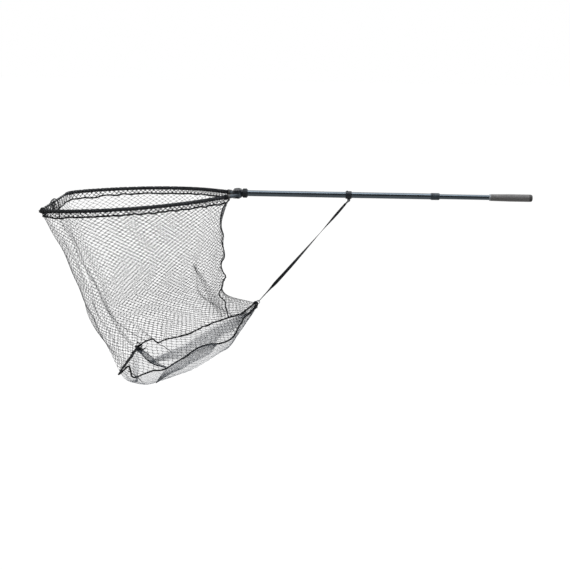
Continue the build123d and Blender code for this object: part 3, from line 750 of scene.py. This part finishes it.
# Both edges of the crease up the far front corner of the net, from its top down
CREASE_RIGHT = (
    (-0.563, 0.168, -0.322), (-0.527, 0.172, -0.391), (-0.498, 0.174, -0.452), (-0.467, 0.174, -0.512),
    (-0.431, 0.172, -0.572), (-0.387, 0.168, -0.622))
CREASE_LEFT = (
    (-0.566, 0.168, -0.324), (-0.538, 0.172, -0.386), (-0.513, 0.174, -0.449), (-0.483, 0.174, -0.510),
    (-0.446, 0.172, -0.573), (-0.397, 0.168, -0.625))
SLACK_CELL, SLACK_R = 0.0046, 0.00036
FOLD_FULL = 0.006  # how far a fold stands out towards the near side in its middle
MESH_SIDES, MESH_BESIDE = 3, (0.1, 0.4, 0.9)
LAYER_GAP, LAYER_SHIFT = 0.0025, 0.3  # between one layer and the next: metres apart, and cells along
MESH_WAVE = 0.0013
# Waves along and across a mesh, and the step from one layer's waves to the next
MESH_WAVES = ((190, 31, 1), (140, -55, 2), (230, 20, 3))


def between(upper, lower):
    """Ruled surface between two given lines, a little full in its middle."""
    lines = [line_through(placed(edge), 0.003) for edge in (upper, lower)]

    def surface(across, along):
        top, low = (read_line(across * (len(line) - 1), np.arange(len(line)), line) for line in lines)
        along = along[..., None]
        return top + along * (low - top) - (0.0, FOLD_FULL, 0.0) * np.sin(pi * along)

    return surface


def mesh_layers(name, surface, size, radius, cell, layers=1, feather=0.0, slot="mesh_fine"):
    """Mesh over a surface given as a function of two shares, in one or more loose layers."""
    width, height = size
    points = []
    for layer in range(layers):
        column, row, thick = strands(2 * round(width / cell / 2), 2 * round(height / cell / 2), 0)
        across = column / column.max()
        along = row / row.max() * (1 + feather * layer) - 0.5 * feather * layer
        sheet = surface(np.clip(across + LAYER_SHIFT * layer * cell / width, 0, 1), along)
        waves = [np.sin(a * across + b * along + step * layer) for a, b, step in MESH_WAVES]
        points.append(sheet + MESH_WAVE * np.stack(waves, -1) - (0.0, LAYER_GAP * layer, 0.0))
    return tube_object(name, np.concatenate(points), radius, MESH_SIDES, MESH_BESIDE, slot)


def fold(name, upper, lower, size, *mesh):
    """Layers of mesh between two given lines, fixed to the shaft."""
    attach(mesh_layers(name, between(upper, lower), size, *mesh))


NET_FOLD = (SLACK_R, SLACK_CELL, 2)
fold("far_slack_fold", SLACK_RIGHT, SLACK_LEFT, (0.22, 0.028), *NET_FOLD, 0.5, "net_dark")
fold("far_corner_fold", CREASE_RIGHT, CREASE_LEFT, (0.35, 0.019), *NET_FOLD, 0.3, "net_dark")

# ---- hems, lacing and seam cords ----

HEM_R = ARM_R + 0.0011  # the hem's netting passes over the arm at this radius
HEM_COLUMNS, HEM_ROWS, HEM_KNOT, HEM_LOOSE = 84, 10, 0.16, 0.12
HEM_STRAND_R, HEM_SIDES = 0.00072, 4
HEM_MIDDLE = -0.006  # height of the hem's middle, from which its strands face away
FRONT_HEM_R, FRONT_HEM_COLUMNS = 0.0046, 12
LACE_R, LACE_PITCH, LACE_STEPS = 0.0010, 0.0118, 16
WOUND_BESIDE = (0.2, 0.3, 0.93)
SEAM_R, REAR_SEAM_R, FRONT_SEAM_R, FRONT_CORD_R = 0.0030, 0.0027, 0.00225, 0.0026
SEAM_SPACING = 0.003
SEAM_WAVES = (0.3, 0.5, 1.0)  # how far the seam cords stray in x, y and z
CORD_SIDES, CORD_BESIDE = 10, (0.1, 0.2, 0.97)
FRONT_CORD_SIDES = 12


def hem_offsets(height, radius):
    """Out and up offsets across a hem that wraps an arm: height 0 and 1 lie at the seam cord."""
    meet = np.arcsin(radius / SEAM_DROP)
    straight = SEAM_DROP * cos(meet)
    arc = radius * (pi + 2 * meet)
    run = height * (2 * straight + arc)
    turn = -meet + np.clip((run - straight) / radius, 0, pi + 2 * meet)
    rise = np.clip(run / straight, 0, 1)
    fall = np.clip((run - straight - arc) / straight, 0, 1)
    out, up = radius * np.cos(turn), radius * np.sin(turn)
    out = np.where(run < straight, rise * out, np.where(fall > 0, (1 - fall) * out, out))
    up = np.where(run < straight, -SEAM_DROP + rise * (up + SEAM_DROP),
                  np.where(fall > 0, up - fall * (up + SEAM_DROP), up))
    return out, up


def hem_object(name, side, first, last, radius, columns):
    """Doubled netting that wraps the rim between two shares of its half, down to the seam cord."""
    column, row, thick = strands(columns, HEM_ROWS, HEM_KNOT)
    share = first + (last - first) * column / columns
    loose = rng.normal(0.0, HEM_LOOSE, (columns + 3, HEM_ROWS + 2))
    height = row + at_knots(loose, column, row) * (row % HEM_ROWS > 0)
    out, up = hem_offsets(np.clip(height / HEM_ROWS, 0, 1), radius)
    up = np.where(up < 0, up * seam_drop(share, side) / SEAM_DROP, up)
    points = rim_point(share, side, up, out)
    outward = unit(points - rim_point(share, side, HEM_MIDDLE))
    return tube_object(name, points, HEM_STRAND_R * thick, HEM_SIDES, outward, "net_dark"), share


def seam_line(side, first, last, size, pitch):
    """Wavy line along the hem's lower edge, and its share of the half rim at each point."""
    count = int((last - first) * HALF_RIM / SEAM_SPACING)
    share = np.linspace(first, last, count)
    shift = wobble(count, SEAM_SPACING, size, pitch)
    shift[0] = shift[-1] = 0
    return rim_point(share, side) + shift * SEAM_WAVES, share


def wound(run, turn, reach, side):
    """Line wound round an arm: its turn at each run along the arm, and its reach from the middle."""
    x, y, angle = arm_line(run)
    x = x + reach * np.cos(turn) * np.sin(angle)
    y = y - reach * np.cos(turn) * np.cos(angle)
    return in_rim(x, side * y, reach * np.sin(turn))


def black_cord(name, path, radii, sides=CORD_SIDES, beside=CORD_BESIDE):
    """Black cord along one line."""
    return tube_object(name, path[None], radii, sides, beside, "cord_black")


def lacing_object(name, side):
    """Thin cord that laces the hem to its arm, its turns a little uneven."""
    turns = int((ARM_LENGTH - HEM_START) / LACE_PITCH)
    run = np.linspace(HEM_START + 0.004, ARM_LENGTH - 0.007, turns * LACE_STEPS)
    uneven = 0.5 * np.sin(run * 40) + 0.4 * np.sin(run * 93)
    path = wound(run, 2 * pi * run / LACE_PITCH + uneven, ARM_R + LACE_R * 1.3, side)
    return black_cord(name, path, LACE_R, 6, WOUND_BESIDE)


REAR_SHARE = REAR_HALF / HALF_RIM
TIP_SHARE = 1 - TIP_Y / HALF_RIM
CAP_SHARE = 0.006 / HALF_RIM

for side, name in SIDES:
    body = ARM_BODY[side]
    hem, _ = hem_object(f"{name}_hem_netting", side, REAR_SHARE, TIP_SHARE - CAP_SHARE, HEM_R, HEM_COLUMNS)
    attach(hem, f"{name}_hem", body)
    attach(lacing_object(f"{name}_lacing", side), body=body)
    path, share = seam_line(side, REAR_SHARE, TIP_SHARE, 0.0014, 0.017)
    thick = SEAM_R * (1 + 0.12 * np.sin(share * 400) * np.sin(share * 163))
    attach(black_cord(f"{name}_seam", path, thick), f"{name}_seam_cord", body)
    path, _ = seam_line(side, 0.0, REAR_SHARE, 0.0006, 0.016)
    attach(black_cord(f"{name}_rear_seam", path, REAR_SEAM_R))

    front, share = hem_object(f"{name}_front_hem", side, TIP_SHARE, 1.0, FRONT_HEM_R, FRONT_HEM_COLUMNS)
    bind_half(front)
    path, share = seam_line(side, TIP_SHARE, 1.0, 0.0008, 0.02)
    front_seam = black_cord(f"{name}_front_seam", path, FRONT_SEAM_R)
    bind_half(front_seam)
    share = np.linspace(TIP_SHARE + CAP_SHARE, 1.0, 60)
    cord = black_cord(f"{name}_front_cord", rim_point(share, side, 0.0), FRONT_CORD_R, FRONT_CORD_SIDES)
    bind_half(cord)
    if side < 0:
        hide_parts("front_hem")
        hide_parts("front_seam_cord")
        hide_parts("front_cord")

# ---- gathers at the front and whipping round the corners ----

FRONT_LOOPS = (
    (-0.648, -0.226, -0.046), (-0.645, -0.196, -0.060), (-0.646, -0.158, -0.046), (-0.645, -0.118, -0.064),
    (-0.646, -0.076, -0.044), (-0.645, -0.044, -0.066), (-0.647, -0.014, -0.040))
FRONT_TIE = (
    (-0.648, -0.081, -0.036), (-0.650, -0.045, -0.032), (-0.650, 0.012, -0.038), (-0.646, 0.043, -0.056),
    (-0.645, 0.048, -0.076), (-0.644, 0.038, -0.092), (-0.643, 0.050, -0.104), (-0.643, 0.022, -0.104))
TIE_LOOP = (
    (-0.647, -0.076, -0.036), (-0.645, -0.056, -0.048), (-0.644, -0.036, -0.066), (-0.644, 0.006, -0.078),
    (-0.645, 0.040, -0.078), (-0.646, 0.006, -0.062), (-0.646, -0.028, -0.046), (-0.648, -0.050, -0.034))
CORNER_TIP = (
    (-0.642, -0.221, -0.046), (-0.652, -0.227, -0.044), (-0.6595, -0.230, -0.046), (-0.654, -0.228, -0.050),
    (-0.645, -0.224, -0.056), (-0.635, -0.223, -0.062))
WHIP_TURNS, WHIP_PITCH, WHIP_R = 4, 0.0021, 0.0013
WHIP_STEPS, WHIP_SIDES = 24, 8
CORNER_WHIP_REACH, HEM_WHIP_REACH = 0.0067 + WHIP_R, 0.0072 + WHIP_R  # just outside the hem

for name, route, radius, slot in (("front_tie", FRONT_TIE, 0.0021, "cord_black"),
                                  ("front_tie_loop", TIE_LOOP, 0.0015, "net_dark")):
    attach(rope(name, placed(route), radius, slot, waves=0.0009, pitch=0.012))

corner_tip = rope("near_corner_loop", placed(CORNER_TIP), 0.0024, waves=0.0006, pitch=0.012)
attach(corner_tip, body="near_side")
loops = rope("front_loops", placed(FRONT_LOOPS), 0.0019, waves=0.0009, pitch=0.012)
bind_half(loops)


def whipping(name, side, start, reach):
    """Turns of thin cord wound round an arm from a run along it."""
    turn = np.linspace(0, 2 * pi * WHIP_TURNS, WHIP_STEPS * WHIP_TURNS)
    run = np.minimum(start + WHIP_PITCH * turn / (2 * pi), ARM_LENGTH)
    made = black_cord(name, wound(run, turn, reach, side), WHIP_R, WHIP_SIDES, WOUND_BESIDE)
    attach(made, body=ARM_BODY[side])


whipping("near_corner_whipping", -1, ARM_LENGTH - 0.011, CORNER_WHIP_REACH)
for side, name in SIDES:
    whipping(f"{name}_hem_whipping", side, HEM_START - 0.001, HEM_WHIP_REACH)

# ---- cord round the base, its knots, and the rear seam ----

BASE_CORD_R = 0.0031
HAIRPIN = ((-0.357, -0.177, -0.616), (-0.372, -0.177, -0.630))  # the near cord doubles back here
NEAR_ROUTE = (
    *NEAR_BASE[:-2], (-0.343, -0.183, -0.652), (-0.348, -0.181, -0.634), *HAIRPIN, (-0.388, -0.173, -0.647),
    (-0.394, -0.166, -0.651), (-0.390, -0.155, -0.645), (-0.384, -0.060, -0.641), (-0.378, 0.060, -0.638),
    FAR_BASE[-1])
SECOND_ROUTE = (
    (-0.376, 0.150, -0.628), (-0.381, 0.060, -0.634), (-0.386, -0.060, -0.637), (-0.389, -0.150, -0.641),
    (-0.392, -0.172, -0.650))

near_cord = rope("base_cord_near", placed(NEAR_ROUTE), BASE_CORD_R, waves=0.0007, pitch=0.022)
attach(near_cord, "base_cord")
attach(rope("base_cord_far", placed(FAR_BASE), BASE_CORD_R, waves=0.0008))
attach(rope("base_cord_second", placed(SECOND_ROUTE), BASE_CORD_R * 0.85, waves=0.0008))


def knot_path(centre, size, turn):
    """Closed overhand knot of a given size round a centre."""
    t = np.linspace(0, 2 * pi, 60)
    x = np.sin(t) + 2 * np.sin(2 * t)
    y = np.cos(t) - 2 * np.cos(2 * t)
    z = -1.1 * np.sin(3 * t)
    points = size / 3 * np.stack([x, y, z], 1)
    return points @ np.array(Matrix.Rotation(turn, 3, "X")).T + placed(centre)


KNOTS = (((-0.372, 0.168, -0.632), 0.0125, 0.9), ((-0.363, 0.160, -0.641), 0.0105, 2.1))
KNOT_R, TAIL_R = 0.0029, 0.0024
TAILS = (((-0.372, 0.166, -0.632), (-0.384, 0.158, -0.641), (-0.396, 0.150, -0.650)),
         ((-0.366, 0.164, -0.636), (-0.350, 0.156, -0.636), (-0.341, 0.150, -0.628)),
         ((-0.372, 0.170, -0.630), (-0.365, 0.172, -0.619), (-0.376, 0.168, -0.612)))
CORNER_LOOP = (
    (0.034, 0.034, -0.462), (0.060, 0.024, -0.440), (0.082, 0.010, -0.419), (0.092, 0.002, -0.406),
    (0.099, -0.004, -0.408), (0.098, -0.009, -0.419), (0.083, -0.018, -0.433), (0.066, -0.034, -0.446),
    (0.056, -0.046, -0.455))

for number, (centre, size, turn) in enumerate(KNOTS, 1):
    attach(rope(f"base_knot_{number}", knot_path(centre, size, turn), KNOT_R, spacing=0.0016))
for number, tail in enumerate(TAILS, 1):
    attach(rope(f"base_knot_tail_{number}", placed(tail), TAIL_R, spacing=0.002))
attach(rope("corner_loop", placed(CORNER_LOOP), BASE_CORD_R, waves=0.0004))
attach(rope("rear_seam", placed(REAR_SEAM), 0.0024, waves=0.0006, pitch=0.016), "rear_seam_cord")

# ---- fine mesh pouch under the base ----

# The pouch's lowest line, from the rear corner to the front, (station, y, z)
KEEL = (
    (0.094, -0.002, -0.413), (0.080, -0.010, -0.446), (0.053, -0.025, -0.490), (0.026, -0.040, -0.524),
    (0.0, -0.048, -0.565), (-0.030, -0.050, -0.588), (-0.087, -0.050, -0.627), (-0.144, -0.050, -0.661),
    (-0.201, -0.050, -0.682), (-0.258, -0.055, -0.703), (-0.300, -0.060, -0.714), (-0.340, -0.070, -0.702))
FINE_CELL, FOLD_CELL, GATHER_CELL = 0.0030, 0.0024, 0.0020  # half a cell, smaller where drawn in
FINE_R = 0.00020
POUCH_LENGTH, POUCH_DEPTH = 0.76, {-1: 0.115, 1: 0.215}
POUCH_FULL = {-1: 0.010, 1: 0.016}  # how far the pouch's sides stand out
POUCH_SAG = 0.010


def keel_point(share):
    """Lowest line of the pouch under a share of the half rim."""
    points = placed(KEEL)
    return smooth_line(np.linspace(0, CORNER, len(points)), points, np.minimum(share, CORNER))


def pouch_point(share, down, side):
    """Point of the pouch between the base cord and the keel, its sides full and rounded."""
    top, low = base_point(share, side), keel_point(share)
    down = down[..., None]
    full = np.sin(pi * down) * POUCH_FULL[side]
    outward = unit((top - low) * (0.35, 1.0, 0.0) + (0.0, 1e-6, 0.0))
    sag = np.array((0.0, 0.0, -1.0)) * np.sin(pi * down) * POUCH_SAG
    return top + down * (low - top) + full * outward + sag


# Lines of the folds, (station, y, z), from the rear end to the front
FAR_FOLD_TOP = (
    (0.059, 0.030, -0.450), (0.048, 0.042, -0.458), (-0.013, 0.086, -0.501), (-0.073, 0.108, -0.538),
    (-0.132, 0.111, -0.576), (-0.191, 0.110, -0.610), (-0.249, 0.104, -0.634), (-0.316, 0.096, -0.666))
FAR_FOLD_FOOT = (
    (0.061, 0.010, -0.453), (0.050, 0.008, -0.465), (0.006, 0.030, -0.518), (-0.037, 0.036, -0.544),
    (-0.081, 0.036, -0.586), (-0.124, 0.036, -0.608), (-0.184, 0.050, -0.634), (-0.244, 0.067, -0.649),
    (-0.314, 0.084, -0.671))
NEAR_FOLD_TOP = (
    (-0.035, -0.172, -0.527), (-0.060, -0.180, -0.528), (-0.090, -0.184, -0.536), (-0.118, -0.186, -0.553),
    (-0.151, -0.188, -0.575), (-0.184, -0.190, -0.596), (-0.215, -0.190, -0.620), (-0.232, -0.165, -0.642),
    (-0.253, -0.110, -0.676), (-0.269, -0.072, -0.702))
NEAR_FOLD_FOOT = (
    (-0.036, -0.160, -0.532), (-0.044, -0.145, -0.543), (-0.064, -0.110, -0.576), (-0.092, -0.102, -0.596),
    (-0.133, -0.104, -0.617), (-0.166, -0.100, -0.639), (-0.204, -0.098, -0.657), (-0.226, -0.095, -0.671),
    (-0.255, -0.075, -0.695), (-0.271, -0.062, -0.707))
GATHERS = (
    ((-0.374, 0.160, -0.640), (-0.323, 0.080, -0.660), (-0.292, 0.020, -0.659), (-0.238, -0.040, -0.654)),
    ((-0.353, 0.160, -0.640), (-0.307, 0.090, -0.650), (-0.282, 0.030, -0.655), (-0.238, -0.040, -0.651)),
    ((-0.360, -0.175, -0.634), (-0.341, -0.150, -0.655), (-0.319, -0.075, -0.704)),
    ((-0.299, 0.184, -0.617), (-0.274, 0.160, -0.622), (-0.237, 0.120, -0.635)))
GATHER_R = (0.0017, 0.0013, 0.0014, 0.0012)

for side, name in SIDES:
    pouch = mesh_layers(f"{name}_pouch", lambda across, along: pouch_point(across, along, side),
                        (POUCH_LENGTH, POUCH_DEPTH[side]), FINE_R, FINE_CELL)
    attach(pouch, "base_pouch" if side < 0 else None)

fold("far_pouch_fold", FAR_FOLD_TOP, FAR_FOLD_FOOT, (0.34, 0.045), FINE_R, FOLD_CELL, 4, 0.16)
for number, (line, radius) in enumerate(zip(GATHERS, GATHER_R), 1):
    attach(rope(f"pouch_gather_{number}", placed(line), radius, "net_dark", waves=0.0006, pitch=0.01))
fold("pouch_gather_fold", *GATHERS[:2], (0.18, 0.016), FINE_R, GATHER_CELL, 4)
fold("near_pouch_fold", NEAR_FOLD_TOP, NEAR_FOLD_FOOT, (0.24, 0.060), FINE_R, FOLD_CELL, 3, 0.05)

# ---- strap ----

# The strap's middle line from the collar's ring to the corner ring, (station, y, z)
STRAP_ROUTE = (
    (0.4185, 0.0, -0.0324), (0.383, 0.0, -0.0760), (0.330, 0.0, -0.1390), (0.270, 0.0, -0.2110),
    (0.210, 0.0, -0.2820), (0.155, 0.0, -0.3450), (0.1070, 0.0, -0.3999))
STRAP_LENGTH, STRAP_WIDTH, STRAP_THICK = 0.482, 0.012, 0.0015
# The strap's turn about its length at each share of it
STRAP_TWIST = (
    (0.0, 0.60), (0.05, 0.70), (0.11, 0.76), (0.19, 0.36), (0.26, 0.05), (0.345, -0.24), (0.42, -0.46),
    (0.51, -0.74), (0.63, -1.17), (0.73, -1.38), (0.80, -1.68), (0.88, -2.70), (0.95, -2.98), (1.0, -3.05))
TWIST_START = 0.16
# Section of the webbing, in half widths and half thicknesses, thicker at its rolled edges
STRAP_SECTION = (
    (-1.0, 0.0), (-0.93, 0.75), (-0.75, 1.0), (0.0, 0.8), (0.75, 1.0), (0.93, 0.75), (1.0, 0.0),
    (0.93, -0.75), (0.75, -1.0), (0.0, -0.8), (-0.75, -1.0), (-0.93, -0.75))
UPPER_END = (
    (0.4165, 0.0, -0.0348), (0.4200, 0.0, -0.0308), (0.4260, 0.0, -0.0250), (0.4300, 0.0, -0.0215))
LOWER_END = (
    (0.1085, 0.0, -0.3982), (0.1040, 0.0, -0.4030), (0.0990, 0.0, -0.4070), (0.0960, -0.002, -0.4100))
UPPER_END_R, LOWER_END_R = 0.0027, 0.0012


def strap_object(name, route):
    """Flat webbing with rolled edges, turned about its length."""
    path = nurbs_line(f"{name}_route", placed(route))
    share = lengths(path) / lengths(path)[-1]
    knots = np.array(STRAP_TWIST)
    twist = TWIST_START + smooth_line(knots[:, 0], knots[:, 1:], share)[:, 0]
    along = unit(np.gradient(path, axis=0))
    side = unit(np.cross(along, (0.0, 1.0, 0.0)))
    flat = np.cos(twist)[:, None] * np.array((0.0, 1.0, 0.0)) + np.sin(twist)[:, None] * side
    thick = np.cross(flat, along)
    half, deep = STRAP_WIDTH / 2, STRAP_THICK / 2
    ring = np.array([half * a * flat + deep * b * thick for a, b in STRAP_SECTION]).transpose(1, 0, 2)
    points = (path[:, None] + ring).reshape(-1, 3)
    sides = len(STRAP_SECTION)
    quads, caps = tube_faces(1, len(path), sides)
    made = mesh_object(name, points, quads, "webbing", caps)
    uv = made.data.uv_layers.new(name="strap_uv")
    loop_vertices = np.zeros(len(made.data.loops), np.int32)
    made.data.loops.foreach_get("vertex_index", loop_vertices)
    run = share * STRAP_LENGTH
    across = np.array([a * half for a, _ in STRAP_SECTION])
    coordinates = np.stack([run[loop_vertices // sides], across[loop_vertices % sides]], 1)
    uv.data.foreach_set("uv", coordinates.astype(np.float32).ravel())
    return made, path


strap, strap_path = strap_object("carry_strap", STRAP_ROUTE)
attach(strap, "strap")
for name, route, radius in (("strap_end_upper", UPPER_END, UPPER_END_R),
                            ("strap_end_lower", LOWER_END, LOWER_END_R)):
    attach(rope(name, placed(route), radius, "webbing", spacing=0.0015))

# ---- floor and light ----


def make_floor():
    """Plain white studio floor, lit from within like a light table."""
    points = [(x * FLOOR_HALF, y * FLOOR_HALF, FLOOR_Z) for x, y in ((-1, -1), (1, -1), (1, 1), (-1, 1))]
    shader = Shader("floor", (0.02, 0.02, 0.02), 0.95, specular=0.0)
    shader.tint(shader.noise(3.0, 2.0), 0.8, 1.0)
    fill(shader.surface, Emission_Color=(1.0, 1.0, 1.0, 1.0), Emission_Strength=FLOOR_GLOW)
    MATERIALS["floor"] = shader.material
    floor = mesh_object("floor", points, [(0, 1, 2, 3)], "floor")
    del floor["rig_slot"]


def make_world():
    """White studio with an unlit wall behind the camera, which darkens what faces it."""
    world = bpy.data.worlds.new("studio")
    world.use_nodes = True
    nodes, links = world.node_tree.nodes, world.node_tree.links
    toward = nodes.new("ShaderNodeVectorMath")
    toward.operation = "DOT_PRODUCT"
    toward.inputs[1].default_value = DARK_TOWARD
    links.new(nodes.new("ShaderNodeTexCoord").outputs["Generated"], toward.inputs[0])
    fade = nodes.new("ShaderNodeMapRange")
    fade.interpolation_type = "SMOOTHSTEP"
    fill(fade, From_Min=DARK_OUTER, From_Max=DARK_INNER, To_Min=WORLD_LIGHT, To_Max=WORLD_DARK)
    links.new(toward.outputs["Value"], fade.inputs["Value"])
    seen = nodes.new("ShaderNodeLightPath").outputs["Is Camera Ray"]
    choice = fill(nodes.new("ShaderNodeMapRange"), To_Max=1.0)
    links.new(seen, choice.inputs["Value"])
    links.new(fade.outputs["Result"], choice.inputs["To Min"])
    background = fill(nodes["Background"], Color=(1.0, 1.0, 1.0, 1.0))
    links.new(choice.outputs["Result"], background.inputs["Strength"])
    bpy.context.scene.world = world


make_floor()
make_world()
bpy.context.scene.view_settings.view_transform = "Standard"
make_overhead_light()
